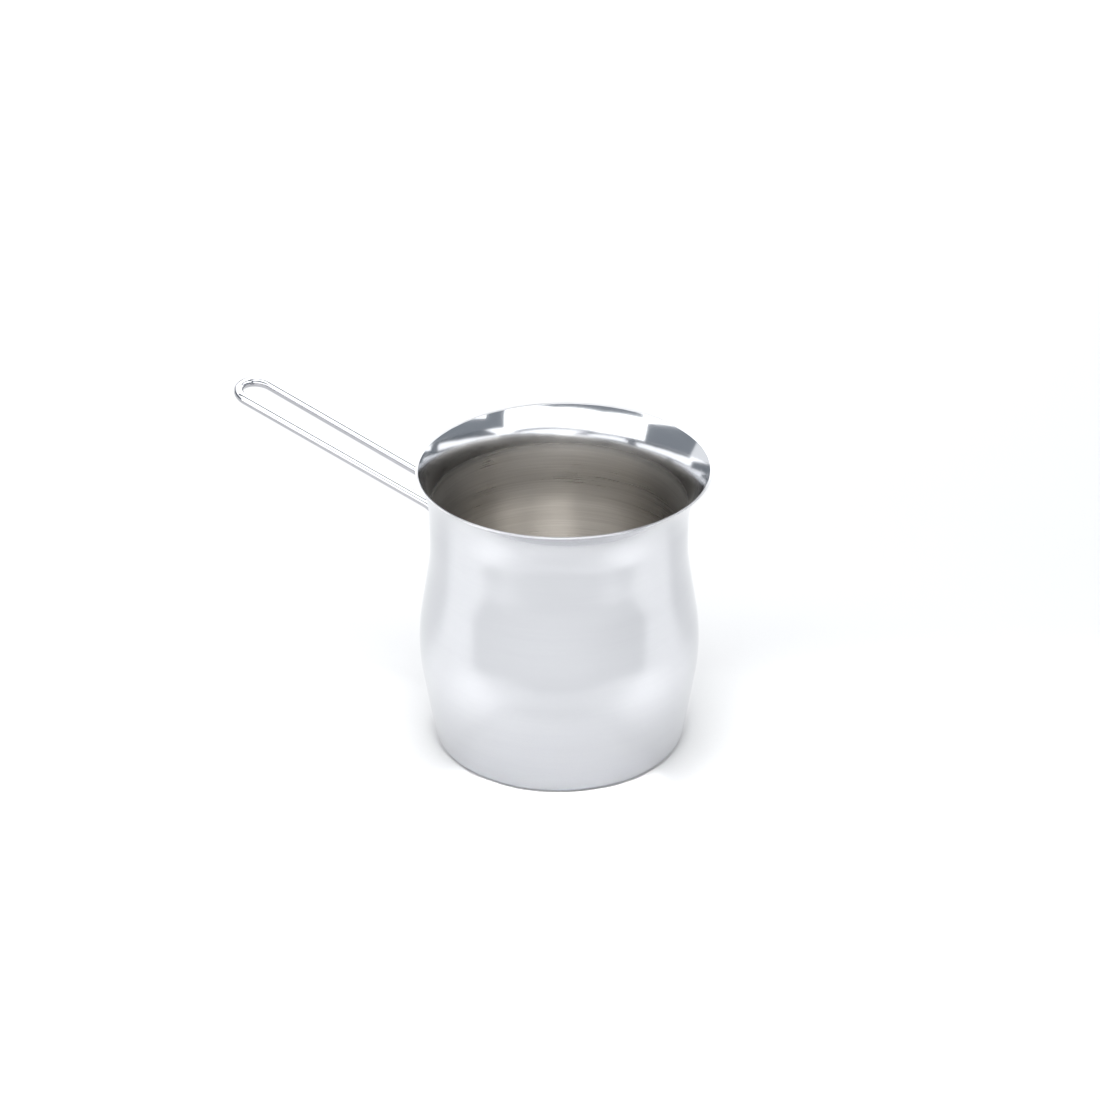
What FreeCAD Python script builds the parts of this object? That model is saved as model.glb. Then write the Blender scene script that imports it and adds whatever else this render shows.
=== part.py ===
import FreeCAD, Part
import math
import os

import Sketcher

# Candle melting pot: a one-piece spun steel pot with a flared pouring lip, and a wire handle
# bent like a hairpin, whose two feet are welded to the shoulder of the pot below the lip.
#
# Millimetres, +Z up. The origin is the middle of the face the pot stands on, and the handle
# points along -X, so wax is poured over the lip at +X.

Vector = FreeCAD.Vector
Rotation = FreeCAD.Rotation
Y_AXIS = Vector(0, 1, 0)
Z_AXIS = Vector(0, 0, 1)

# Sketcher's numbers for the points of a curve, and for the sketch's own origin and axis.
START = 1
END = 2
CENTER = 3
ORIGIN = (-1, 1)
UPRIGHT = -2

# Driving dimensions: degrees for the tilts and rises, millimetres for everything else.
SIZES = {
    "wall": 0.8,
    # Outline of the outside of the pot, turned about the Z axis.
    "base_flat_radius": 47.4,
    "base_corner": 2.9,
    "belly_radius": 55.5,
    "belly_height": 42.2,
    "belly_curve": 85.4,
    "neck_radius": 50.5,
    "neck_height": 85.5,
    "neck_curve": 71.4,
    # Above the straight neck the lip flares, a little further out and up on the pouring side.
    "lip_height": 96.2,
    "lip_curve": 37.9,
    "rim_radius": 57.9,
    "rim_offset": 2.6,
    "rim_tilt": 0.4,
    "lip_edge_round": 0.3,
    # The middle of the underside is pressed up, which leaves a flat ring to stand on.
    "recess_depth": 1.0,
    "recess_radius": 40.0,
    "recess_slope": 3.5,
    # Handle of round wire, measured on its centre line.
    "wire_radius": 2.0,
    "loop_reach": 151.2,
    "loop_height": 107.65,
    "loop_radius": 8.0,
    "leg_rise": 12.5,
    "bend_radius": 9.0,
    "foot_spacing": 14.8,
    "foot_length": 13.0,
    "foot_end_round": 0.7,
    "foot_gap": 0.25,
    # Each weld is a bead that runs down both sides of a foot.
    "weld_half_length": 6.0,
    "weld_half_width": 3.6,
    "weld_half_depth": 2.0,
}

# The flare is a loft through this many circles.
LIP_SECTIONS = 7


def derived_sizes(size):
    """Places that follow from the driving dimensions, by the same names as in the sheet."""
    belly_x = size["belly_radius"] - size["belly_curve"]
    neck_x = size["neck_radius"] + size["neck_curve"]

    # The lower wall is the straight line that touches the base corner and the belly.
    corner_run = size["base_flat_radius"] - belly_x
    corner_drop = size["belly_height"] - size["base_corner"]
    corner_spacing = math.hypot(corner_run, corner_drop)
    corner_angle = math.acos((size["belly_curve"] - size["base_corner"]) / corner_spacing)
    lower_lean = math.atan2(corner_drop, corner_run) - corner_angle

    # The shoulder is the straight line that touches the belly and the neck.
    neck_run = neck_x - belly_x
    neck_rise = size["neck_height"] - size["belly_height"]
    neck_spacing = math.hypot(neck_run, neck_rise)
    neck_angle = math.acos((size["belly_curve"] + size["neck_curve"]) / neck_spacing)
    lean = math.atan2(neck_rise, neck_run) - neck_angle
    shoulder_top_radius = neck_x - size["neck_curve"] * math.cos(lean)
    shoulder_top_height = size["neck_height"] - size["neck_curve"] * math.sin(lean)

    flare = size["rim_radius"] - size["neck_radius"]
    rim_rise = math.sqrt(size["lip_curve"] ** 2 - (size["lip_curve"] - flare) ** 2)

    # A foot lies along the shoulder, on its own side of the handle.
    foot_y = size["foot_spacing"] / 2

    def foot_reach(height):
        wall_radius = shoulder_top_radius + (shoulder_top_height - height) * math.tan(lean)
        wire_distance = wall_radius + (size["wire_radius"] + size["foot_gap"]) / math.cos(lean)
        return math.sqrt(wire_distance ** 2 - foot_y ** 2)

    upper_reach = foot_reach(shoulder_top_height)
    lower_height = shoulder_top_height - size["foot_length"]
    foot_lean = math.atan2(foot_reach(lower_height) - upper_reach, size["foot_length"])

    # The lines of the leg and the foot meet at the point that the bend rounds off.
    rise = math.radians(size["leg_rise"])
    leg_height = size["loop_height"] - (size["loop_reach"] - upper_reach) * math.tan(rise)
    up = (leg_height - shoulder_top_height) / (1 + math.tan(rise) * math.tan(foot_lean))
    point_reach = upper_reach - up * math.tan(foot_lean)
    point_height = shoulder_top_height + up
    turn = math.pi / 2 - rise + foot_lean
    tangent = size["bend_radius"] * math.tan(turn / 2)
    bend_reach = point_reach + tangent * math.cos(rise)
    bend_height = point_height + tangent * math.sin(rise)

    # Seen square to the handle, each leg runs from the bend to where it touches the loop.
    leg_run = (size["loop_reach"] - bend_reach) / math.cos(rise)
    taper = math.asin(size["loop_radius"] / math.hypot(leg_run, foot_y)) - math.atan2(foot_y, leg_run)

    weld_drop = tangent * math.cos(foot_lean) + size["foot_length"] / 2
    weld_height = point_height - weld_drop
    weld_radius = shoulder_top_radius + (shoulder_top_height - weld_height) * math.tan(lean)
    return {
        "lower_lean": math.degrees(lower_lean),
        "shoulder_lean": math.degrees(lean),
        "rim_height": size["lip_height"] + rim_rise,
        "foot_lean": math.degrees(foot_lean),
        "bend_turn": math.degrees(turn),
        "bend_reach": bend_reach,
        "bend_height": bend_height,
        "leg_run": leg_run,
        "leg_taper": math.degrees(taper),
        "leg_heading": math.degrees(math.atan2(math.tan(taper), math.cos(rise))),
        "weld_height": weld_height,
        "weld_radius": weld_radius,
        "weld_angle": math.degrees(math.asin(foot_y / weld_radius)),
    }


def make_sheet(doc, size):
    """Keep every dimension in a spreadsheet, one alias to a row."""
    sheet = doc.addObject("Spreadsheet::Sheet", "sizes")
    for row, (name, value) in enumerate(size.items(), start=1):
        sheet.set("A%d" % row, name)
        sheet.set("B%d" % row, "%.6f" % value)
        sheet.setAlias("B%d" % row, name)
    doc.recompute()
    return sheet


def new_sketch(body, name, role, offset=None, moves=None):
    """A sketch on one of the body's own origin planes, moved from it by named amounts."""
    sketch = body.newObject("Sketcher::SketchObject", name)
    plane = next(item for item in body.Origin.OriginFeatures if item.Role == role)
    sketch.AttachmentSupport = [(plane, "")]
    sketch.MapMode = "FlatFace"
    if offset is not None:
        sketch.AttachmentOffset = offset
    for path, expression in (moves or {}).items():
        sketch.setExpression("AttachmentOffset." + path, expression)
    return sketch


def measure(sketch, kind, where, expression):
    """Add a dimension to a sketch and bind it to the sheet."""
    value = float(sketch.evalExpression(expression))
    index = sketch.addConstraint(Sketcher.Constraint(kind, *where, value))
    name = "size_%d" % index
    sketch.renameConstraint(index, name)
    sketch.setExpression("Constraints." + name, expression)


def arc(center, radius, start, end):
    """An arc drawn anticlockwise between two angles in degrees."""
    circle = Part.Circle(Vector(*center, 0), Z_AXIS, radius)
    return Part.ArcOfCircle(circle, math.radians(start), math.radians(end))


def on_arc(center, radius, angle):
    """The point of an arc at an angle in degrees."""
    turn = math.radians(angle)
    return (center[0] + radius * math.cos(turn), center[1] + radius * math.sin(turn))


def segment(start, end):
    return Part.LineSegment(Vector(*start, 0), Vector(*end, 0))


def turned_below_lip(body, name, size, inset, inset_name):
    """Revolve the outline from the base up to the lip, set in by a distance from the outside."""
    base = size["base_flat_radius"]
    corner_center = (base, size["base_corner"])
    belly_center = (size["belly_radius"] - size["belly_curve"], size["belly_height"])
    neck_center = (size["neck_radius"] + size["neck_curve"], size["neck_height"])
    corner = size["base_corner"] - inset
    belly = size["belly_curve"] - inset
    neck = size["neck_curve"] + inset
    lower = -size["lower_lean"]
    lean = size["shoulder_lean"]
    recess = (size["recess_radius"], size["recess_depth"] + inset)
    ring = (size["recess_radius"] + size["recess_slope"], inset)
    neck_radius = size["neck_radius"] - inset
    top = size["lip_height"]

    sketch = new_sketch(body, name + "_outline", "XZ_Plane")
    shapes = [
        segment((0, top), (0, recess[1])),
        segment((0, recess[1]), recess),
        segment(recess, ring),
        segment(ring, (base, inset)),
        arc(corner_center, corner, -90, lower),
        segment(on_arc(corner_center, corner, lower), on_arc(belly_center, belly, lower)),
        arc(belly_center, belly, lower, lean),
        segment(on_arc(belly_center, belly, lean), on_arc(neck_center, neck, 180 + lean)),
        arc(neck_center, neck, 180, 180 + lean),
        segment((neck_radius, size["neck_height"]), (neck_radius, top)),
        segment((neck_radius, top), (0, top)),
    ]
    (
        axis, floor, slope, flat, corner_arc, wall,
        belly_arc, shoulder, neck_arc, straight, lid,
    ) = range(len(shapes))
    sketch.addGeometry(shapes, False)
    constraints = [
        Sketcher.Constraint("PointOnObject", axis, START, UPRIGHT),
        Sketcher.Constraint("Vertical", axis),
        Sketcher.Constraint("Horizontal", floor),
        Sketcher.Constraint("Horizontal", flat),
        Sketcher.Constraint("Horizontal", lid),
        Sketcher.Constraint("Coincident", axis, END, floor, START),
        Sketcher.Constraint("Coincident", floor, END, slope, START),
        Sketcher.Constraint("Coincident", slope, END, flat, START),
        Sketcher.Constraint("Tangent", flat, END, corner_arc, START),
        Sketcher.Constraint("Tangent", corner_arc, END, wall, START),
        Sketcher.Constraint("Tangent", wall, END, belly_arc, START),
        Sketcher.Constraint("Tangent", belly_arc, END, shoulder, START),
        Sketcher.Constraint("Tangent", shoulder, END, neck_arc, END),
        Sketcher.Constraint("Tangent", neck_arc, START, straight, START),
        Sketcher.Constraint("Coincident", straight, END, lid, START),
        Sketcher.Constraint("Coincident", lid, END, axis, START),
        Sketcher.Constraint("Horizontal", neck_arc, START, neck_arc, CENTER),
    ]
    sketch.addConstraint(constraints)
    measure(sketch, "DistanceX", (*ORIGIN, floor, END), "sizes.recess_radius")
    measure(sketch, "DistanceY", (*ORIGIN, floor, END), "sizes.recess_depth + " + inset_name)
    measure(sketch, "DistanceX", (*ORIGIN, slope, END), "sizes.recess_radius + sizes.recess_slope")
    measure(sketch, "DistanceX", (*ORIGIN, corner_arc, CENTER), "sizes.base_flat_radius")
    measure(sketch, "DistanceY", (*ORIGIN, corner_arc, CENTER), "sizes.base_corner")
    measure(sketch, "Radius", (corner_arc,), "sizes.base_corner - " + inset_name)
    measure(sketch, "DistanceX", (*ORIGIN, belly_arc, CENTER), "sizes.belly_radius - sizes.belly_curve")
    measure(sketch, "DistanceY", (*ORIGIN, belly_arc, CENTER), "sizes.belly_height")
    measure(sketch, "Radius", (belly_arc,), "sizes.belly_curve - " + inset_name)
    measure(sketch, "DistanceX", (*ORIGIN, neck_arc, CENTER), "sizes.neck_radius + sizes.neck_curve")
    measure(sketch, "DistanceY", (*ORIGIN, neck_arc, CENTER), "sizes.neck_height")
    measure(sketch, "Radius", (neck_arc,), "sizes.neck_curve + " + inset_name)
    measure(sketch, "DistanceY", (*ORIGIN, straight, END), "sizes.lip_height")

    turned = body.newObject("PartDesign::Revolution", name + "_turned")
    turned.Profile = sketch
    turned.ReferenceAxis = (sketch, ["V_Axis"])
    turned.Angle = 360
    return turned


def lofted_lip(body, name, size, inset, inset_name):
    """Loft the flare up to the rim through circles that shift and tilt as they rise."""
    sections = []
    for step in range(LIP_SECTIONS):
        share = step / (LIP_SECTIONS - 1)
        rise = "((sizes.rim_height - sizes.lip_height) * %.6f)" % share
        grow = "%.6f" % share ** 2
        moves = {
            "Base.x": "sizes.rim_offset * " + grow,
            "Base.z": "sizes.lip_height + " + rise,
        }
        offset = FreeCAD.Placement()
        if step:
            offset = FreeCAD.Placement(Vector(), Rotation(-Y_AXIS, size["rim_tilt"] * share ** 2))
            moves["Rotation.Angle"] = "sizes.rim_tilt * " + grow
        section = new_sketch(body, "%s_lip_%d" % (name, step), "XY_Plane", offset, moves)
        section.addGeometry(Part.Circle(Vector(), Z_AXIS, size["neck_radius"]), False)
        section.addConstraint(Sketcher.Constraint("Coincident", 0, CENTER, *ORIGIN))
        curve = "(sizes.lip_curve + %s)" % inset_name
        reach = "sqrt(%s * %s - %s * %s)" % (curve, curve, rise, rise)
        measure(section, "Radius", (0,), "sizes.neck_radius + sizes.lip_curve - " + reach)
        sections.append(section)
    lip = body.newObject("PartDesign::AdditiveLoft", name + "_lip")
    lip.Profile = sections[0]
    lip.Sections = sections[1:]
    lip.Ruled = False
    return lip


def pot_form(doc, name, size, inset, inset_name):
    """The solid inside one face of the sheet: the whole pot filled in, or the space it holds."""
    body = doc.addObject("PartDesign::Body", name)
    turned_below_lip(body, name, size, inset, inset_name)
    doc.recompute()
    lofted_lip(body, name, size, inset, inset_name)
    doc.recompute()
    return body


def pot_shell(doc, size, outside, inside):
    """The pot is its outer form less the space inside, with the cut edge of the lip rounded."""
    shell = doc.addObject("Part::Cut", "pot_shell")
    shell.Base = outside
    shell.Tool = inside
    doc.recompute()
    lip = doc.addObject("Part::Fillet", "pot_body")
    lip.Base = shell
    edge_round = size["lip_edge_round"]
    lip_rise = size["rim_radius"] * math.sin(math.radians(size["rim_tilt"]))
    low = size["rim_height"] - lip_rise - edge_round
    lip.Edges = [
        (number, edge_round, edge_round)
        for number, edge in enumerate(shell.Shape.Edges, start=1)
        if edge.BoundBox.ZMin > low
    ]
    doc.recompute()
    return lip


def hairpin(doc, size):
    """Half of the bent wire is piped along the loop and a leg, then a foot, and mirrored."""
    body = doc.addObject("PartDesign::Body", "handle_rod")
    rise = math.radians(size["leg_rise"])
    taper = size["leg_taper"]
    loop = size["loop_radius"]
    loop_center = (0, 0)

    section = new_sketch(body, "wire_section", "XZ_Plane")
    tip = (
        -size["loop_reach"] - loop * math.cos(rise),
        size["loop_height"] + loop * math.sin(rise),
    )
    section.addGeometry(Part.Circle(Vector(*tip, 0), Z_AXIS, size["wire_radius"]), False)
    measure(section, "Radius", (0,), "sizes.wire_radius")
    tip_x = "-sizes.loop_reach - sizes.loop_radius * cos(sizes.leg_rise * 1deg)"
    tip_z = "sizes.loop_height + sizes.loop_radius * sin(sizes.leg_rise * 1deg)"
    measure(section, "DistanceX", (*ORIGIN, 0, CENTER), tip_x)
    measure(section, "DistanceY", (*ORIGIN, 0, CENTER), tip_z)

    # The plane of the handle slopes down to the pot, with its own X pointing that way.
    slope = FreeCAD.Placement(Vector(), Rotation(Y_AXIS, size["leg_rise"]))
    moves = {
        "Base.x": "-sizes.loop_reach",
        "Base.z": "sizes.loop_height",
        "Rotation.Angle": "sizes.leg_rise",
    }
    path = new_sketch(body, "leg_path", "XY_Plane", slope, moves)
    touch = on_arc(loop_center, loop, 90 - taper)
    path.addGeometry(arc(loop_center, loop, 90 - taper, 180), False)
    path.addGeometry(segment(touch, (size["leg_run"], size["foot_spacing"] / 2)), False)
    path.addConstraint(Sketcher.Constraint("Coincident", 0, CENTER, *ORIGIN))
    path.addConstraint(Sketcher.Constraint("Horizontal", 0, CENTER, 0, END))
    path.addConstraint(Sketcher.Constraint("Tangent", 0, START, 1, START))
    measure(path, "Radius", (0,), "sizes.loop_radius")
    measure(path, "DistanceX", (*ORIGIN, 1, END), "sizes.leg_run")
    measure(path, "DistanceY", (*ORIGIN, 1, END), "sizes.foot_spacing / 2")
    leg = body.newObject("PartDesign::AdditivePipe", "leg")
    leg.Profile = section
    leg.Spine = (path, ["Edge1", "Edge2"])
    doc.recompute()

    # The foot bends in the upright plane that holds the leg.
    upright = FreeCAD.Placement(Vector(), Rotation(-Y_AXIS, size["leg_heading"]))
    moves = {
        "Base.x": "-sizes.bend_reach",
        "Base.y": "sizes.bend_height",
        "Base.z": "-sizes.foot_spacing / 2",
        "Rotation.Angle": "sizes.leg_heading",
    }
    foot_path = new_sketch(body, "foot_path", "XZ_Plane", upright, moves)
    bend = size["bend_radius"]
    lean = math.radians(size["foot_lean"])
    pivot = (-bend * math.sin(rise), -bend * math.cos(rise))
    bent = on_arc(pivot, bend, -size["foot_lean"])
    foot = size["foot_length"]
    end = (bent[0] - foot * math.sin(lean), bent[1] - foot * math.cos(lean))
    foot_path.addGeometry(arc(pivot, bend, -size["foot_lean"], 90 - size["leg_rise"]), False)
    foot_path.addGeometry(segment(bent, end), False)
    foot_path.addConstraint(Sketcher.Constraint("Coincident", 0, END, *ORIGIN))
    foot_path.addConstraint(Sketcher.Constraint("Tangent", 0, START, 1, START))
    measure(foot_path, "Radius", (0,), "sizes.bend_radius")
    measure(foot_path, "DistanceX", (*ORIGIN, 0, CENTER), "-sizes.bend_radius * sin(sizes.leg_rise * 1deg)")
    measure(foot_path, "Distance", (1, START, 1, END), "sizes.foot_length")
    measure(foot_path, "DistanceX", (1, END, 1, START), "sizes.foot_length * sin(sizes.foot_lean * 1deg)")
    bend_start = Vector(-size["bend_reach"], size["foot_spacing"] / 2, size["bend_height"])
    faces = leg.Shape.Faces
    joint = min(range(len(faces)), key=lambda index: faces[index].CenterOfMass.distanceToPoint(bend_start))
    foot_pipe = body.newObject("PartDesign::AdditivePipe", "foot")
    foot_pipe.Profile = (leg, ["Face%d" % (joint + 1)])
    foot_pipe.Spine = (foot_path, ["Edge1", "Edge2"])
    doc.recompute()

    mirrored = body.newObject("PartDesign::Mirrored", "other_half")
    mirrored.Originals = [leg, foot_pipe]
    plane = next(item for item in body.Origin.OriginFeatures if item.Role == "XZ_Plane")
    mirrored.MirrorPlane = (plane, [""])
    body.Tip = mirrored
    doc.recompute()

    ends = body.newObject("PartDesign::Fillet", "foot_ends")
    floor = min(vertex.Z for vertex in mirrored.Shape.Vertexes) + size["wire_radius"]
    edges = [
        "Edge%d" % number
        for number, edge in enumerate(mirrored.Shape.Edges, start=1)
        if edge.BoundBox.ZMax < floor and edge.Closed
    ]
    ends.Base = (mirrored, edges)
    ends.setExpression("Radius", "sizes.foot_end_round")
    body.Tip = ends
    doc.recompute()
    return body


def weld(doc, name, side, size, outside, handle):
    """A bead along one foot, trimmed to the wall of the pot and to the wire."""
    blank = doc.addObject("Part::Ellipsoid", name + "_blank")
    blank.setExpression("Radius1", "sizes.weld_half_length")
    blank.setExpression("Radius2", "sizes.weld_half_depth")
    blank.setExpression("Radius3", "sizes.weld_half_width")
    around = 180 - side * size["weld_angle"]
    spin = Rotation(Z_AXIS, around)
    place = spin.multVec(Vector(size["weld_radius"], 0, size["weld_height"]))
    blank.Placement = FreeCAD.Placement(place, spin * Rotation(Y_AXIS, -size["shoulder_lean"]))
    on_wall = doc.addObject("Part::Cut", name + "_on_wall")
    on_wall.Base = blank
    on_wall.Tool = outside
    on_wall.Refine = False
    bead = doc.addObject("Part::Cut", name)
    bead.Base = on_wall
    bead.Tool = handle
    bead.Refine = False
    doc.recompute()
    return bead


def check(doc, parts):
    """Stop before anything is written if an object failed or a part has no sound shape."""
    for item in doc.Objects:
        if "Invalid" in item.State or "Error" in item.State:
            raise RuntimeError("%s failed: %s" % (item.Name, item.State))
    for part in parts:
        if part.Shape.isNull() or not part.Shape.isValid():
            raise RuntimeError("%s has no valid shape" % part.Label)


def main():
    doc = FreeCAD.newDocument("candle_melting_pot")
    size = dict(SIZES)
    size.update(derived_sizes(SIZES))
    make_sheet(doc, size)

    outside = pot_form(doc, "outside", size, 0, "0")
    inside = pot_form(doc, "inside", size, size["wall"], "sizes.wall")
    pot = pot_shell(doc, size, outside, inside)
    handle = hairpin(doc, size)
    weld_left = weld(doc, "weld_left", 1, size, outside, handle)
    weld_right = weld(doc, "weld_right", -1, size, outside, handle)

    parts = [pot, handle, weld_left, weld_right]
    for part in parts:
        part.Label = part.Name
    doc.recompute()
    check(doc, parts)
    os.makedirs("parts", exist_ok=True)
    for part in parts:
        part.Shape.exportStep("parts/%s.step" % part.Label)
        print(part.Label, "%.1f mm3" % part.Shape.Volume, len(part.Shape.Solids), "solid")


main()
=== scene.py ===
import math
from typing import NamedTuple

import bpy
from mathutils import Matrix, Vector, noise


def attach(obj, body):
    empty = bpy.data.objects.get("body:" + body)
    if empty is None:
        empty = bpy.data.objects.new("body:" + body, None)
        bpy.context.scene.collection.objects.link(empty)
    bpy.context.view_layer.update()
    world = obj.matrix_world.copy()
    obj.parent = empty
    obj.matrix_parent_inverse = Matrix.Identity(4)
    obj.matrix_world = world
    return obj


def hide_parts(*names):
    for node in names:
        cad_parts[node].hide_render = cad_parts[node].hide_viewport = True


# Candle melting pot: the finished look of a spun steel pot and its welded wire handle, built
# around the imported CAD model. Metres and radians. +Z is the pot's axis, the handle points
# along -X, and wax is poured over the lip at +X.

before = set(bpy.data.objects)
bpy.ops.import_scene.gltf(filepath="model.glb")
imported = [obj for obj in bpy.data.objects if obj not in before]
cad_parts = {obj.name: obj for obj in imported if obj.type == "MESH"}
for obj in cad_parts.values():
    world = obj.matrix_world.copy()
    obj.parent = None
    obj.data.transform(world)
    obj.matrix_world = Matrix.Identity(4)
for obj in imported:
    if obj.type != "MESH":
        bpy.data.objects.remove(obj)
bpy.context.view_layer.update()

MM = 0.001
MICRON = 0.001 * MM

# Outline of the pot's outside, and the thickness of its sheet.
WALL = 0.8 * MM
BASE_FLAT_RADIUS = 47.4 * MM
BASE_CORNER = 2.9 * MM
BELLY_RADIUS = 55.5 * MM
BELLY_HEIGHT = 42.2 * MM
BELLY_CURVE = 85.4 * MM
NECK_RADIUS = 50.5 * MM
NECK_HEIGHT = 85.5 * MM
NECK_CURVE = 71.4 * MM
LIP_HEIGHT = 96.2 * MM
LIP_CURVE = 37.9 * MM
RIM_RADIUS = 57.9 * MM
RIM_OFFSET = 2.6 * MM
RIM_TILT = math.radians(0.4)
RECESS_DEPTH = 1.0 * MM
RECESS_RADIUS = 40.0 * MM
RECESS_SLOPE = 3.5 * MM

# The rounded edge of the sheet stays this far below the rim's height.
RIM_MARGIN = 0.05 * MM

# The outline starts this far from the axis, and a small flat closes each face there.
AXIS_FLAT_RADIUS = 0.25 * MM

# Steps around the pot, steps along each straight stretch of its outline, and points of each arc.
POT_AROUND = 288
BOTTOM_STEPS = 24
RECESS_STEPS = 4
WALL_STEPS = 14
NECK_STEPS = 8
CORNER_POINTS = 13
BELLY_POINTS = 31
NECK_POINTS = 17
LIP_POINTS = 41
EDGE_POINTS = 11

# Centre line of the handle's wire. Its legs bend at the corner, and its feet end on the shoulder.
WIRE_RADIUS = 2.0 * MM
LOOP_REACH = 151.2 * MM
LOOP_HEIGHT = 107.65 * MM
LOOP_RADIUS = 8.0 * MM
LEG_RISE = math.radians(12.5)
CORNER_REACH = 51.30 * MM
CORNER_HEIGHT = 85.50 * MM
BEND_RADIUS = 9.0 * MM
FOOT_SPACING = 14.8 * MM
FOOT_END_REACH = 54.81 * MM
FOOT_END_HEIGHT = 64.27 * MM
FOOT_END_ROUND = 0.7 * MM
WIRE_AROUND = 40
LEG_STEPS = 28
FOOT_STEPS = 6
LOOP_POINTS = 21
BEND_POINTS = 17
FOOT_END_POINTS = 6

# Weld beads, measured along the wall of the pot. The finished bead fills a little less than the
# length and the width of the CAD bead.
WELD_HEIGHT = 70.58 * MM
WELD_HALF_LENGTH = 6.0 * MM
WELD_HALF_WIDTH = 3.6 * MM
WELD_DEPTH = 2.0 * MM
WELD_SUNK = 0.25 * MM
WELD_LENGTH_FILLED = 0.98
WELD_WIDTH_FILLED = 0.94
WELD_RINGS = 72
WELD_AROUND = 48

# Surface of a bead: ripples that bend back at its sides, over a noise cut along it, across it and
# apart from the other bead's. Their widths and depths are shares of the bead's own.
RIPPLES = 9
RIPPLE_BEND = 0.25
RIPPLE_WIDTH = 0.03
RIPPLE_DEPTH = 0.05
UNEVEN_ALONG = 2.1
UNEVEN_ACROSS = 1.7
UNEVEN_APART = 5.0
UNEVEN_WIDTH = 0.05
UNEVEN_DEPTH = 0.04
CROWN_DEPTH = 0.93

# Camera: the side that the photograph was taken from.
VIEW_AZIMUTH = math.radians(35)
VIEW_ELEVATION = math.radians(29.85)
VIEW_DISTANCE = 1.265
VIEW_CENTRE = Vector((0, 0, 0.0575))
VIEW_RAISE = 0.0207
VIEW_LEFT = 0.00355
VIEW_ROLL = -0.0045
LENS = 104.56
SENSOR = 36

# The brushed finish of the chamber gives way to the lip's polish between these heights.
POLISH_START = 99.5 * MM
POLISH_FULL = 104 * MM

# Turned marks: how finely noise is cut along the wall and around it, in steps to the metre. The
# fine lines have a share of them and the bands the rest; smears have what the marks leave.
FINE_ALONG = 1400.0
FINE_AROUND = 25.0
BANDS_ALONG = FINE_ALONG / 8
BANDS_AROUND = 12.0
FINE_SHARE = 0.55
SMEAR_SCALE = 38.0
TURNED_SHARE = 0.6

# Noise between these values spreads over the whole of a colour's or a roughness's range.
NOISE_LOW = 0.3
NOISE_HIGH = 0.7

# A quarter turn of the shaders' own tangent puts the gloss across the turned lines.
ACROSS_LINES = 0.25

# White paper under the pot.
FLOOR_HALF_WIDTH = 4.0
PAPER_GRAIN = 900.0
PAPER_DARK = (0.51, 0.51, 0.51)
PAPER_LIGHT = (0.53, 0.53, 0.53)

# Overhead softboxes, seen from the camera, and the studio around them.
OVERHEAD_LEFT = -1.33
OVERHEAD_RIGHT = 0.6
OVERHEAD_HEIGHT = 1.05
OVERHEAD_GLOW = 3.0
STUDIO_GREY = (0.30, 0.33, 0.37)


# ---------------------------------------------------------------- shapes

def spread(start, end, count):
    """Evenly spaced values from start to end, both included."""
    return [start + (end - start) * step / (count - 1) for step in range(count)]


def arc(centre, radius, start, end, count):
    """Points of an arc as (distance, height) pairs, between two angles."""
    return [
        (centre[0] + radius * math.cos(turn), centre[1] + radius * math.sin(turn))
        for turn in spread(start, end, count)
    ]


def line(start, end, count):
    """Points strictly between two others, for rings along a straight stretch."""
    return [
        (start[0] + (end[0] - start[0]) * step / count, start[1] + (end[1] - start[1]) * step / count)
        for step in range(1, count)
    ]


def tangent_lean(run, rise, radii):
    """Lean from upright of the straight line that touches two circles."""
    return math.atan2(rise, run) - math.acos(radii / math.hypot(run, rise))


BELLY_CENTRE = (BELLY_RADIUS - BELLY_CURVE, BELLY_HEIGHT)
NECK_CENTRE = (NECK_RADIUS + NECK_CURVE, NECK_HEIGHT)
LOWER_LEAN = tangent_lean(
    BASE_FLAT_RADIUS - BELLY_CENTRE[0], BELLY_HEIGHT - BASE_CORNER, BELLY_CURVE - BASE_CORNER
)
SHOULDER_LEAN = tangent_lean(
    NECK_CENTRE[0] - BELLY_CENTRE[0], NECK_HEIGHT - BELLY_HEIGHT, BELLY_CURVE + NECK_CURVE
)
RIM_HEIGHT = LIP_HEIGHT + math.sqrt(LIP_CURVE ** 2 - (LIP_CURVE - RIM_RADIUS + NECK_RADIUS) ** 2)

# The lip's arc turns by the flare, and the sheet is cut square to it there.
LIP_CENTRE = (NECK_RADIUS + LIP_CURVE, LIP_HEIGHT)
LIP_MIDDLE = LIP_CURVE + WALL / 2
RIM_FLARE = math.asin((RIM_HEIGHT - RIM_MARGIN - WALL / 2 - LIP_HEIGHT) / LIP_MIDDLE)


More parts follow.
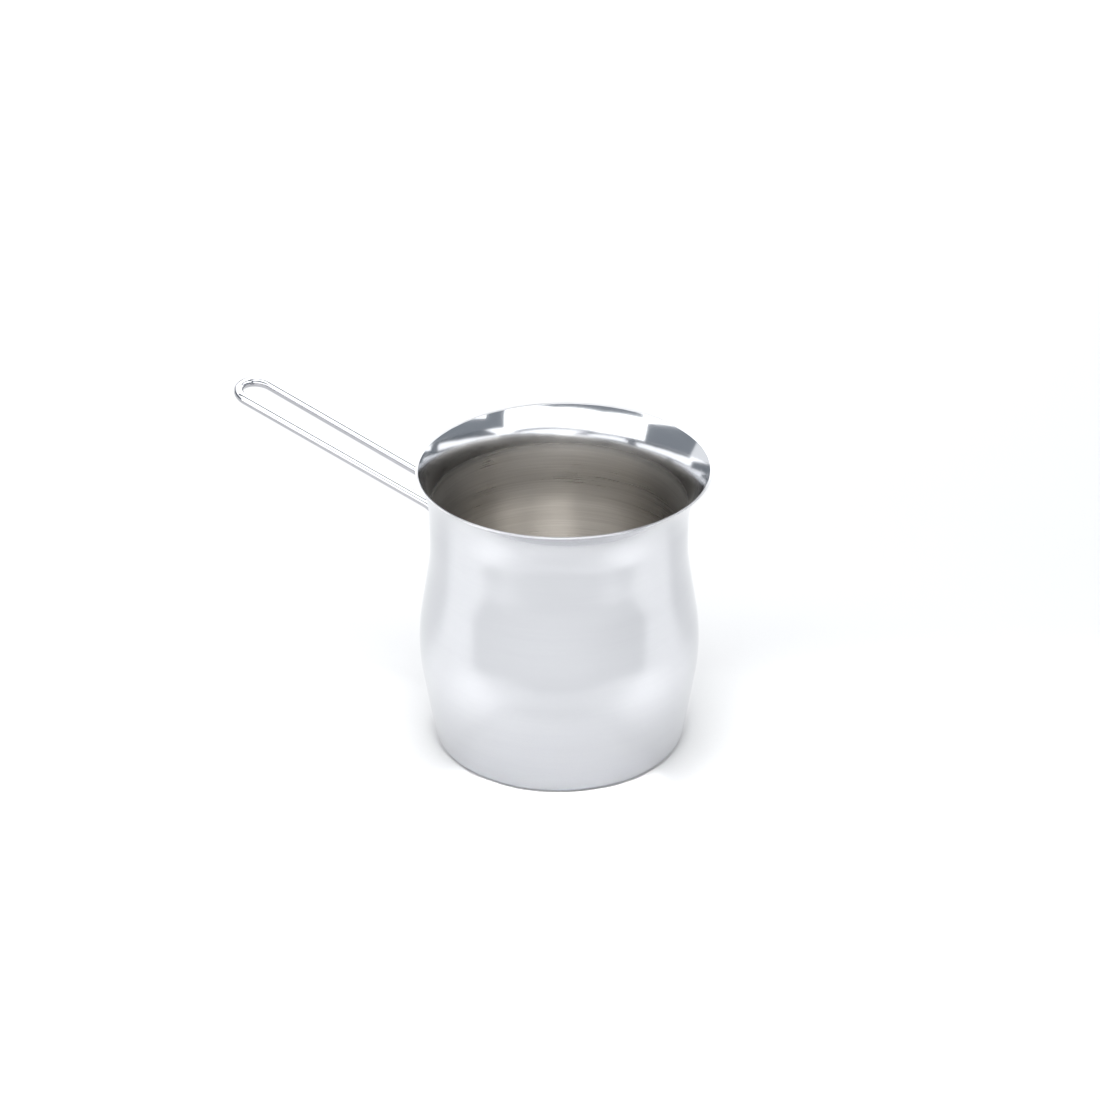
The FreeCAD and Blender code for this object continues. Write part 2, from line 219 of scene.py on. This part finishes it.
def face_outline(inset):
    """Outline of one face of the sheet, from the axis at the bottom to the rim."""
    recess = (RECESS_RADIUS, RECESS_DEPTH + inset)
    ring = (RECESS_RADIUS + RECESS_SLOPE, inset)
    corner_centre = (BASE_FLAT_RADIUS, BASE_CORNER)
    corner = arc(corner_centre, BASE_CORNER - inset, -math.pi / 2, -LOWER_LEAN, CORNER_POINTS)
    belly = arc(BELLY_CENTRE, BELLY_CURVE - inset, -LOWER_LEAN, SHOULDER_LEAN, BELLY_POINTS)
    neck = arc(NECK_CENTRE, NECK_CURVE + inset, math.pi + SHOULDER_LEAN, math.pi, NECK_POINTS)
    lip = arc(LIP_CENTRE, LIP_CURVE + inset, math.pi, math.pi - RIM_FLARE, LIP_POINTS)
    points = [(AXIS_FLAT_RADIUS, recess[1])]
    for stretch, steps in (
        ([recess], BOTTOM_STEPS),
        ([ring], RECESS_STEPS),
        (corner, RECESS_STEPS),
        (belly, WALL_STEPS),
        (neck, WALL_STEPS),
        (lip, NECK_STEPS),
    ):
        points += line(points[-1], stretch[0], steps)
        points += stretch
    return points


def lip_edge():
    """Half round edge that joins the tops of the two faces."""
    out = math.pi - RIM_FLARE
    middle = (LIP_CENTRE[0] + LIP_MIDDLE * math.cos(out), LIP_CENTRE[1] + LIP_MIDDLE * math.sin(out))
    return arc(middle, WALL / 2, out + math.pi, out, EDGE_POINTS)


def lip_place(radius, height, turn):
    """A point of the pot: above the lip's start, circles shift and tilt towards the pouring side."""
    share = max(0.0, (height - LIP_HEIGHT) / (RIM_HEIGHT - LIP_HEIGHT))
    weight = share ** 2
    tilt = RIM_TILT * weight
    across = radius * math.cos(turn)
    return Vector((
        RIM_OFFSET * weight + across * math.cos(tilt),
        radius * math.sin(turn),
        height + across * math.sin(tilt),
    ))


def placed(name, data):
    """A new object in the scene, for a mesh, a camera or a light."""
    item = bpy.data.objects.new(name, data)
    bpy.context.scene.collection.objects.link(item)
    return item


def rings_mesh(name, rings, bands=None):
    """A closed smooth mesh through rings of points; each ring's band is its faces' material."""
    around = len(rings[0])
    points = [point for ring in rings for point in ring]
    faces = []
    materials = []
    for level in range(len(rings) - 1):
        low = level * around
        high = low + around
        for step in range(around):
            following = (step + 1) % around
            faces.append((low + step, low + following, high + following, high + step))
            materials.append(bands[level] if bands else 0)
    faces.append(tuple(range(around))[::-1])
    materials.append(bands[0] if bands else 0)
    last = (len(rings) - 1) * around
    faces.append(tuple(range(last, last + around)))
    materials.append(bands[-1] if bands else 0)
    mesh = bpy.data.meshes.new(name)
    mesh.from_pydata(points, [], faces)
    mesh.polygons.foreach_set("material_index", materials)
    mesh.polygons.foreach_set("use_smooth", [True] * len(faces))
    mesh.update()
    return placed(name, mesh)


OUTSIDE, LIP_EDGE, INSIDE, UNDERSIDE = range(4)


def make_pot():
    """The spun pot: both faces, the lip's edge and the pressed base in one closed mesh."""
    profile = []
    for radius, height in face_outline(0)[:-1]:
        under = radius < BASE_FLAT_RADIUS and height < BELLY_HEIGHT
        profile.append((radius, height, UNDERSIDE if under else OUTSIDE))
    for radius, height in lip_edge():
        profile.append((radius, height, LIP_EDGE))
    for radius, height in reversed(face_outline(WALL)[:-1]):
        profile.append((radius, height, INSIDE))
    rings = [
        [lip_place(radius, height, 2 * math.pi * step / POT_AROUND) for step in range(POT_AROUND)]
        for radius, height, _ in profile
    ]
    bands = [band for _, _, band in profile]
    return rings_mesh("pot", rings, bands)


# ---------------------------------------------------------------- handle

def rounded_corner(start, corner, end, radius, count):
    """Points of the arc that rounds off a corner of a route."""
    back = (start - corner).normalized()
    ahead = (end - corner).normalized()
    half = back.angle(ahead) / 2
    pivot = corner + (back + ahead).normalized() * (radius / math.sin(half))
    first = corner + back * (radius / math.tan(half)) - pivot
    last = corner + ahead * (radius / math.tan(half)) - pivot
    axis = first.cross(last).normalized()
    turn = first.angle(last)
    return [pivot + Matrix.Rotation(step, 3, axis) @ first for step in spread(0, turn, count)]


def handle_route():
    """Centre line of the wire, from the foot at +Y round the loop to the foot at -Y."""
    foot_y = FOOT_SPACING / 2
    slope = Vector((math.cos(LEG_RISE), 0, -math.sin(LEG_RISE)))
    centre = Vector((-LOOP_REACH, 0, LOOP_HEIGHT))
    corner = Vector((-CORNER_REACH, foot_y, CORNER_HEIGHT))
    foot_end = Vector((-FOOT_END_REACH, foot_y, FOOT_END_HEIGHT))
    run = (corner - centre).dot(slope)
    taper = math.asin(LOOP_RADIUS / math.hypot(run, foot_y)) - math.atan2(foot_y, run)
    half = [
        centre + LOOP_RADIUS * (slope * math.cos(turn) + Vector((0, math.sin(turn), 0)))
        for turn in spread(math.pi, math.pi / 2 - taper, LOOP_POINTS)
    ]
    touch = half[-1]
    bend = rounded_corner(touch, corner, foot_end, BEND_RADIUS, BEND_POINTS)
    for step in range(1, LEG_STEPS):
        half.append(touch.lerp(bend[0], step / LEG_STEPS))
    half += bend
    for step in range(1, FOOT_STEPS + 1):
        half.append(bend[-1].lerp(foot_end, step / FOOT_STEPS))
    mirrored = [Vector((point.x, -point.y, point.z)) for point in half[1:]]
    return half[::-1] + mirrored


def make_handle():
    """Round wire swept along the handle's route, with its two cut ends rounded."""
    route = handle_route()
    headings = []
    for index in range(len(route)):
        before = route[max(index - 1, 0)]
        after = route[min(index + 1, len(route) - 1)]
        headings.append((after - before).normalized())
    side = Vector((0, 1, 0))
    stations = []
    end_turns = spread(math.pi / 2, 0, FOOT_END_POINTS)
    for index, point in enumerate(route):
        if index:
            side = headings[index - 1].rotation_difference(headings[index]) @ side
        heading = headings[index]
        side = (side - heading * side.dot(heading)).normalized()
        other = heading.cross(side)
        if index in (0, len(route) - 1):
            outward = -heading if index == 0 else heading
            base = point - outward * FOOT_END_ROUND
            rounds = []
            for turn in end_turns:
                middle = base + outward * FOOT_END_ROUND * math.sin(turn)
                radius = WIRE_RADIUS - FOOT_END_ROUND * (1 - math.cos(turn))
                rounds.append((middle, radius, side, other))
            stations += rounds if index == 0 else rounds[::-1]
        else:
            stations.append((point, WIRE_RADIUS, side, other))
    rings = []
    for point, radius, side, other in stations:
        rings.append([
            point + radius * (side * math.cos(turn) + other * math.sin(turn))
            for turn in (2 * math.pi * step / WIRE_AROUND for step in range(WIRE_AROUND))
        ])
    return rings_mesh("handle_wire", rings)


# ---------------------------------------------------------------- welds

def wall_point(around, height, proud):
    """A point of the straight shoulder at a height, or one that stands proud of its outer face."""
    top_radius = NECK_CENTRE[0] - NECK_CURVE * math.cos(SHOULDER_LEAN)
    top_height = NECK_CENTRE[1] - NECK_CURVE * math.sin(SHOULDER_LEAN)
    radius = top_radius + (top_height - height) * math.tan(SHOULDER_LEAN)
    radius += proud * math.cos(SHOULDER_LEAN)
    height += proud * math.sin(SHOULDER_LEAN)
    return Vector((-radius * math.cos(around), radius * math.sin(around), height))


def make_weld(name, side):
    """Weld metal run down both sides of a foot, in ripples left by the moving weld pool."""
    foot_turn = side * math.asin(FOOT_SPACING / 2 / abs(wall_point(0, WELD_HEIGHT, 0).x))
    rings = []
    for along in spread(-1, 1, WELD_RINGS):
        width = math.sqrt(max(0.0, 1 - along ** 2))
        ring = []
        for turn in (2 * math.pi * step / WELD_AROUND for step in range(WELD_AROUND)):
            across = math.cos(turn) * width
            crown = math.sin(turn)
            ripple = math.cos(RIPPLES * math.pi * (along + RIPPLE_BEND * across ** 2))
            place = Vector((along * UNEVEN_ALONG, across * UNEVEN_ACROSS, side * UNEVEN_APART))
            uneven = noise.noise(place)
            spill = 1 + UNEVEN_WIDTH * uneven
            if crown > 0:
                relief = CROWN_DEPTH + RIPPLE_DEPTH * ripple + UNEVEN_DEPTH * uneven
                proud = WELD_DEPTH * width * crown * relief
            else:
                proud = WELD_SUNK * crown * width
            half_length = WELD_HALF_LENGTH * WELD_LENGTH_FILLED
            height = WELD_HEIGHT + half_length * along * math.cos(SHOULDER_LEAN)
            half_width = WELD_HALF_WIDTH * WELD_WIDTH_FILLED
            lateral = half_width * across * spill * (1 + RIPPLE_WIDTH * ripple)
            around = foot_turn + lateral / abs(wall_point(0, height, 0).x)
            ring.append(wall_point(around, height, proud))
        rings.append(ring)
    return rings_mesh(name, rings)


# ---------------------------------------------------------------- materials

def new_material(name):
    """A material, its node tree and its shader."""
    material = bpy.data.materials.new(name)
    material.use_nodes = True
    tree = material.node_tree
    return material, tree, tree.nodes["Principled BSDF"]


def add(tree, kind, **settings):
    """A new node with its settings made."""
    node = tree.nodes.new(kind)
    for name, value in settings.items():
        setattr(node, name, value)
    return node


def maths(tree, operation, first, second=None):
    """Result of an operation on one or two values, each a number or a socket."""
    node = add(tree, "ShaderNodeMath", operation=operation)
    for socket, value in zip(node.inputs, (first, second)):
        if value is None:
            continue
        if isinstance(value, (int, float)):
            socket.default_value = value
        else:
            tree.links.new(value, socket)
    return node.outputs[0]


def weighted(tree, first, first_share, second, second_share):
    """Sum of two values, each times its share."""
    scaled = maths(tree, "MULTIPLY", first, first_share)
    return maths(tree, "ADD", scaled, maths(tree, "MULTIPLY", second, second_share))


def ranged(tree, value, low, high, from_low=0.0, from_high=1.0):
    """Map a texture's value onto a range."""
    node = add(tree, "ShaderNodeMapRange")
    tree.links.new(value, node.inputs["Value"])
    node.inputs["From Min"].default_value = from_low
    node.inputs["From Max"].default_value = from_high
    node.inputs["To Min"].default_value = low
    node.inputs["To Max"].default_value = high
    return node.outputs["Result"]


def object_place(tree):
    """Object coordinates."""
    return add(tree, "ShaderNodeTexCoord").outputs["Object"]


def split(tree, vector):
    """The X, Y and Z of a vector."""
    parts = add(tree, "ShaderNodeSeparateXYZ")
    tree.links.new(vector, parts.inputs[0])
    return parts.outputs


def noise_texture(tree, vector, detail, roughness=0.5, scale=1.0):
    """Value of a noise at a place."""
    node = add(tree, "ShaderNodeTexNoise")
    node.inputs["Scale"].default_value = scale
    node.inputs["Detail"].default_value = detail
    node.inputs["Roughness"].default_value = roughness
    tree.links.new(vector, node.inputs["Vector"])
    return node.outputs["Fac"]


def turned_coordinates(tree, around, along):
    """Object coordinates stretched into rings about Z, as a lathe leaves its marks."""
    parts = split(tree, object_place(tree))
    square_x = maths(tree, "POWER", parts["X"], 2.0)
    square_y = maths(tree, "POWER", parts["Y"], 2.0)
    radius = maths(tree, "SQRT", maths(tree, "ADD", square_x, square_y))
    distance = maths(tree, "ADD", radius, parts["Z"])
    joined = add(tree, "ShaderNodeCombineXYZ")
    tree.links.new(maths(tree, "MULTIPLY", parts["X"], around), joined.inputs["X"])
    tree.links.new(maths(tree, "MULTIPLY", parts["Y"], around), joined.inputs["Y"])
    tree.links.new(maths(tree, "MULTIPLY", distance, along), joined.inputs["Z"])
    return joined.outputs[0]


def mixed(tree, factor, first, second):
    """A colour between two others."""
    node = add(tree, "ShaderNodeMix", data_type="RGBA")
    tree.links.new(factor, node.inputs["Factor"])
    node.inputs["A"].default_value = (*first, 1)
    node.inputs["B"].default_value = (*second, 1)
    return node.outputs["Result"]


class Finish(NamedTuple):
    """How a steel surface is worked: the colours of its marks, its gloss and its lines' depth."""
    light: tuple
    dark: tuple
    rough: float
    rough_spread: float
    line_depth: float
    anisotropy: float


WALL_FINISH = Finish((0.635, 0.64, 0.66), (0.61, 0.615, 0.635), 0.10, 0.02, 1 * MICRON, 0.3)
EDGE_FINISH = Finish((0.52, 0.52, 0.53), (0.46, 0.46, 0.47), 0.30, 0.03, 2 * MICRON, 0.2)
LIP_FINISH = Finish((0.66, 0.665, 0.675), (0.63, 0.635, 0.65), 0.11, 0.02, 1 * MICRON, 0.3)
CHAMBER_FINISH = Finish((0.72, 0.70, 0.67), (0.53, 0.51, 0.485), 0.30, 0.06, 1.2 * MICRON, 0.7)
UNDERSIDE_FINISH = Finish((0.58, 0.58, 0.59), (0.50, 0.50, 0.51), 0.30, 0.06, 1.2 * MICRON, 0.6)
WIRE_FINISH = Finish((0.50, 0.50, 0.52), (0.45, 0.45, 0.47), 0.09, 0.02, 1 * MICRON, 0.0)
WELD_FINISH = Finish((0.50, 0.48, 0.46), (0.36, 0.33, 0.31), 0.36, 0.08, 20 * MICRON, 0.0)


def steel_shader(tree, shader, finish):
    """Steel with fine turned lines, soft bands and faint smears in its finish."""
    shader.inputs["Metallic"].default_value = 1.0
    shader.inputs["Anisotropic"].default_value = finish.anisotropy
    shader.inputs["Anisotropic Rotation"].default_value = ACROSS_LINES
    tangent = add(tree, "ShaderNodeTangent", direction_type="RADIAL", axis="Z")
    tree.links.new(tangent.outputs[0], shader.inputs["Tangent"])

    fine_place = turned_coordinates(tree, FINE_AROUND, FINE_ALONG)
    bands_place = turned_coordinates(tree, BANDS_AROUND, BANDS_ALONG)
    fine = noise_texture(tree, fine_place, detail=4.0, roughness=0.65)
    bands = noise_texture(tree, bands_place, detail=3.0)
    smear = noise_texture(tree, object_place(tree), detail=5.0, scale=SMEAR_SCALE)

    blend = weighted(tree, fine, FINE_SHARE, bands, 1 - FINE_SHARE)
    tone = ranged(tree, blend, 0.0, 1.0, NOISE_LOW, NOISE_HIGH)
    tree.links.new(mixed(tree, tone, finish.dark, finish.light), shader.inputs["Base Color"])
    wander = weighted(tree, blend, TURNED_SHARE, smear, 1 - TURNED_SHARE)
    low = finish.rough - finish.rough_spread
    high = finish.rough + finish.rough_spread
    rough = ranged(tree, wander, low, high, NOISE_LOW, NOISE_HIGH)
    tree.links.new(rough, shader.inputs["Roughness"])
    bump = add(tree, "ShaderNodeBump")
    bump.inputs["Strength"].default_value = 1.0
    bump.inputs["Distance"].default_value = finish.line_depth
    tree.links.new(fine, bump.inputs["Height"])
    tree.links.new(bump.outputs[0], shader.inputs["Normal"])


def steel(name, finish, upper=None, low=0.0, high=1.0):
    """A steel material; an upper finish takes over gradually between two heights."""
    material, tree, shader = new_material(name)
    steel_shader(tree, shader, finish)
    if upper:
        upper_shader = add(tree, "ShaderNodeBsdfPrincipled")
        steel_shader(tree, upper_shader, upper)
        share = ranged(tree, split(tree, object_place(tree))["Z"], 0.0, 1.0, low, high)
        both = add(tree, "ShaderNodeMixShader")
        tree.links.new(share, both.inputs[0])
        tree.links.new(shader.outputs[0], both.inputs[1])
        tree.links.new(upper_shader.outputs[0], both.inputs[2])
        tree.links.new(both.outputs[0], tree.nodes["Material Output"].inputs["Surface"])
    return material


# ---------------------------------------------------------------- stage

def facing(azimuth, elevation):
    """Unit vector towards a viewer at that azimuth and elevation."""
    level = math.cos(elevation)
    return Vector((math.sin(azimuth) * level, -math.cos(azimuth) * level, math.sin(elevation)))


def make_camera():
    """The photograph's camera: aimed a little above and left of the pot's middle, and rolled."""
    data = bpy.data.cameras.new("camera")
    data.lens = LENS
    data.sensor_width = SENSOR
    camera = placed("camera", data)
    right = Vector((math.cos(VIEW_AZIMUTH), math.sin(VIEW_AZIMUTH), 0))
    back = facing(VIEW_AZIMUTH, VIEW_ELEVATION)
    up = back.cross(right)
    camera.location = VIEW_CENTRE + back * VIEW_DISTANCE
    aim = VIEW_CENTRE + up * VIEW_RAISE - right * VIEW_LEFT
    look = (aim - camera.location).to_track_quat("-Z", "Y")
    camera.rotation_mode = "QUATERNION"
    camera.rotation_quaternion = look @ Matrix.Rotation(VIEW_ROLL, 3, "Z").to_quaternion()
    bpy.context.scene.camera = camera


def seen_from_camera(right, away, up):
    """A place or direction given to the right, away from the camera and up."""
    return Matrix.Rotation(VIEW_AZIMUTH, 3, "Z") @ Vector((right, away, up))


def softbox(name, place, outward, across, width, height, glow):
    """A soft rectangular light; its glow is how bright it looks in a mirror."""
    data = bpy.data.lights.new(name, "AREA")
    data.shape = "RECTANGLE"
    data.size = width
    data.size_y = height
    data.energy = glow * width * height * math.pi
    light = placed(name, data)
    up = outward.cross(across)
    turn = Matrix((across, up, outward)).transposed()
    light.matrix_world = Matrix.Translation(place) @ turn.to_4x4()
    return light


def standing_softbox(name, heading, distance, half_spread, low, high, glow):
    """An upright softbox that faces the pot; a heading of 0 is towards the camera."""
    outward = seen_from_camera(math.sin(heading), -math.cos(heading), 0)
    across = Vector((0, 0, 1)).cross(outward)
    width = 2 * distance * math.tan(half_spread)
    place = outward * distance + Vector((0, 0, (low + high) / 2))
    softbox(name, place, outward, across, width, high - low, glow)


def make_floor():
    """White paper with a fine grain."""
    size = FLOOR_HALF_WIDTH
    corners = [(-size, -size, 0), (size, -size, 0), (size, size, 0), (-size, size, 0)]
    mesh = bpy.data.meshes.new("floor")
    mesh.from_pydata(corners, [], [(0, 1, 2, 3)])
    floor = placed("floor", mesh)
    material, tree, shader = new_material("white_paper")
    grain = noise_texture(tree, object_place(tree), detail=2.0, scale=PAPER_GRAIN)
    tree.links.new(mixed(tree, grain, PAPER_DARK, PAPER_LIGHT), shader.inputs["Base Color"])
    shader.inputs["Roughness"].default_value = 0.9
    shader.inputs["Specular IOR Level"].default_value = 0.1
    mesh.materials.append(material)


def beam(name, right, away, elevation, distance, width, height, reach, glow):
    """A narrow beam from overhead or the camera's side, aimed at a place on the floor."""
    outward = seen_from_camera(0, -math.cos(elevation), math.sin(elevation))
    place = seen_from_camera(right, away, 0) + outward * distance
    light = softbox(name, place, outward, seen_from_camera(1, 0, 0), width, height, glow)
    light.data.spread = reach
    light.visible_camera = False


def make_lights():
    """Softboxes overhead and around the pot, five beams onto the floor, and a grey studio."""
    for name, front, back in (("overhead_front", -0.5, 0.10), ("overhead_back", 0.45, 2.3)):
        middle = ((OVERHEAD_LEFT + OVERHEAD_RIGHT) / 2, (front + back) / 2, OVERHEAD_HEIGHT)
        width = OVERHEAD_RIGHT - OVERHEAD_LEFT
        across = seen_from_camera(1, 0, 0)
        place = seen_from_camera(*middle)
        softbox(name, place, Vector((0, 0, 1)), across, width, back - front, OVERHEAD_GLOW)

    # Name, heading and half spread in degrees, distance, lower and upper edge, glow.
    for name, heading, half_spread, distance, low, high, glow in (
        ("side_left", -97, 26, 1.5, 0.86, 1.20, 2.8),
        ("side_right", 98, 34, 1.5, 0.62, 1.50, 2.6),
        ("front_0", -54.5, 20.5, 1.6, 0.0, 1.04, 2.4),
        ("front_1", -13.5, 20.5, 1.6, 0.0, 1.04, 2.4),
        ("front_2", 27.5, 20.5, 1.6, 0.0, 1.04, 2.4),
        ("back_right", 160, 28, 2.2, 0.40, 1.30, 2.4),
        ("back_left", -143, 17, 2.2, 0.0, 0.80, 0.8),
    ):
        turn = math.radians(heading)
        standing_softbox(name, turn, distance, math.radians(half_spread), low, high, glow)

    # Name, aim to the right and away, elevation and reach in degrees, distance, size, glow.
    for name, right, away, elevation, reach, distance, width, height, glow in (
        ("beam_left", -0.185, -0.03, 90, 12, 0.4, 0.23, 0.14, 0.55),
        ("beam_right", 0.185, -0.03, 90, 12, 0.4, 0.23, 0.14, 0.52),
        ("beam_front", 0.0, -0.455, 90, 40, 1.2, 0.70, 0.79, 0.40),
        ("beam_near", 0.0, -0.095, 60, 8, 0.6, 0.30, 0.11, 0.5),
        ("beam_patch", -0.004, -0.066, 60, 2, 0.6, 0.085, 0.048, 1.7),
    ):
        turn = math.radians(elevation)
        beam(name, right, away, turn, distance, width, height, math.radians(reach), glow)

    world = bpy.data.worlds.new("studio")
    bpy.context.scene.world = world
    world.use_nodes = True
    background = world.node_tree.nodes["Background"]
    background.inputs["Color"].default_value = (*STUDIO_GREY, 1)
    background.inputs["Strength"].default_value = 1.0
    bpy.context.scene.view_settings.view_transform = "Standard"


# ---------------------------------------------------------------- assembly

def finish_pot():
    """The pot, with a material to each band in the order of the band numbers."""
    pot = make_pot()
    for material in (
        steel("outside_polish", WALL_FINISH),
        steel("lip_edge_polish", EDGE_FINISH),
        steel("inside_brushed_to_lip", CHAMBER_FINISH, LIP_FINISH, POLISH_START, POLISH_FULL),
        steel("underside_brushed", UNDERSIDE_FINISH),
    ):
        pot.data.materials.append(material)
    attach(pot, "root")
    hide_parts("pot_body")


def finish_handle():
    """The wire, polished from foot to foot."""
    handle = make_handle()
    handle.data.materials.append(steel("wire_polish", WIRE_FINISH))
    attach(handle, "root")
    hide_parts("handle_rod")


def finish_welds():
    """One bead to each foot of the handle, at +Y and at -Y."""
    metal = steel("weld_metal", WELD_FINISH)
    for name, node, side in (("weld_bead_left", "weld_left", 1), ("weld_bead_right", "weld_right", -1)):
        weld = make_weld(name, side)
        weld.data.materials.append(metal)
        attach(weld, "root")
        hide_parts(node)


finish_pot()
finish_handle()
finish_welds()
make_floor()
make_lights()
make_camera()
